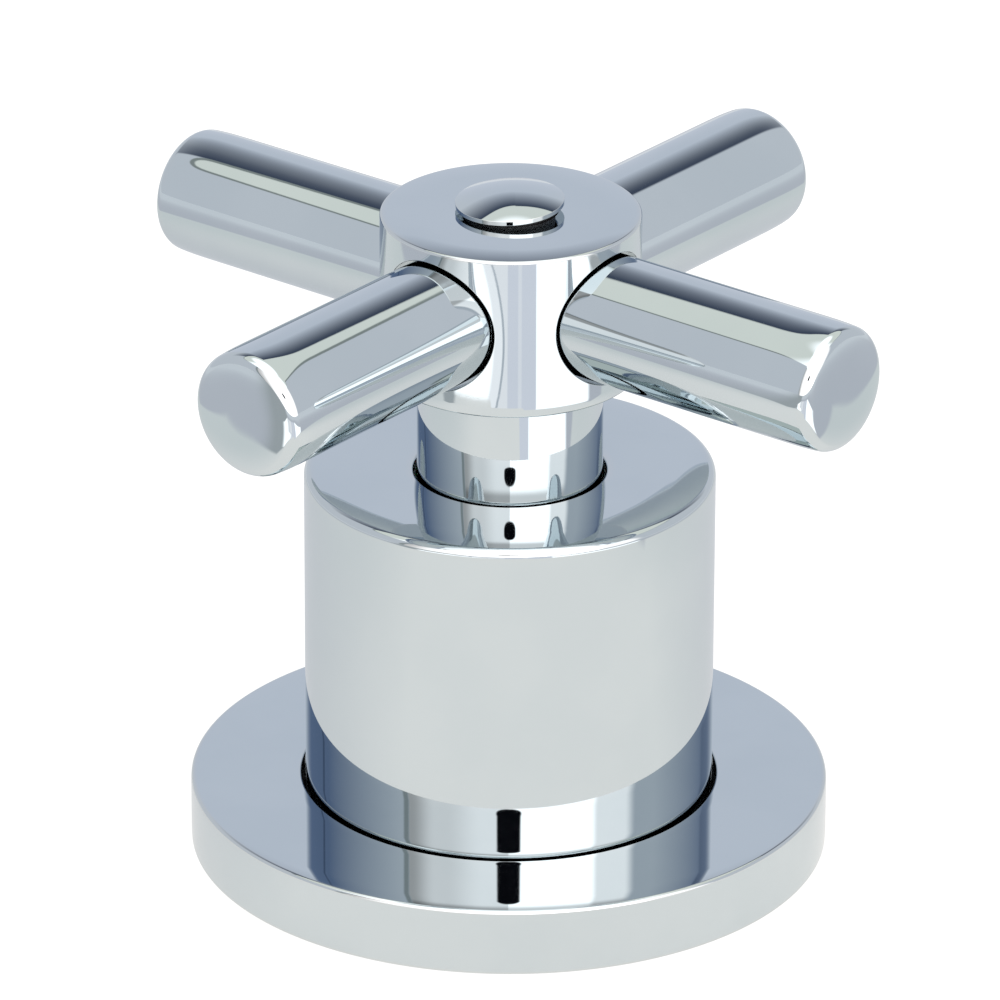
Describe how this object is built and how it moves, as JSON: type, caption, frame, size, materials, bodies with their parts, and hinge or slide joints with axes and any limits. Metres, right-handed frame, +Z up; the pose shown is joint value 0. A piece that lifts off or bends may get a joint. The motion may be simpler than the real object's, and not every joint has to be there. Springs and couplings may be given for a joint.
{
  "type": "basin side valve",
  "caption": "Cross-handle side valve for a basin: round cover flange, cylindrical sleeve over a quarter-turn ceramic disc headwork, and a hub with round bars.",
  "frame": {"origin": "centre of the cover flange's underside, on the axis of the valve", "axes": "+Z up along the spindle; closed, the bars lie along X and Y"},
  "size_m": [0.0724, 0.0724, 0.0612],
  "materials": {
    "polished_chrome": "mirror-polished chrome plate on brass",
    "cast_brass": "turned from a hot-pressed blank, unplated",
    "turned_brass": "fine turned",
    "plain_steel": "bright stainless steel",
    "black_rubber": "moulded nitrile rubber",
    "grey_rubber": "cut sheet rubber",
    "white_plastic": "natural acetal",
    "white_ceramic": "lapped alumina ceramic"
  },
  "bodies": {
    "valve": {"sleeve": "polished_chrome", "sleeve_guide_ring": "white_plastic", "headwork_body": "cast_brass", "body_o_ring": "black_rubber", "seat_seal": "black_rubber", "fixed_disc": "white_ceramic"},
    "handle": {"hub": "polished_chrome", "bar_front_right": "polished_chrome", "bar_back_right": "polished_chrome", "bar_back_left": "polished_chrome", "bar_front_left": "polished_chrome", "bar_studs": "plain_steel", "handle_screw": "plain_steel", "screw_washer": "plain_steel", "spline_bush": "white_plastic", "spindle": "turned_brass", "spindle_o_rings": "black_rubber", "slide_washer": "white_plastic", "retaining_clip": "plain_steel", "moving_disc": "white_ceramic"},
    "cover_flange": {"flange": "polished_chrome", "flange_o_ring": "black_rubber", "flange_gasket": "grey_rubber"},
    "top_cap": {"cap": "polished_chrome", "cap_o_ring": "black_rubber"}
  },
  "joints": [
    {"name": "handle_turn", "type": "hinge", "parent": "valve", "child": "handle", "pos_m": [0, 0, 0.0522], "axis": [0, 0, 1], "range_deg": [0, 90]},
    {"name": "flange_slide", "type": "slide", "parent": "valve", "child": "cover_flange", "axis": [0, 0, 1], "range_m": [0, 0.02]},
    {"name": "cap_lift", "type": "slide", "parent": "handle", "child": "top_cap", "axis": [0, 0, 1], "range_m": [0, 0.01]}
  ]
}
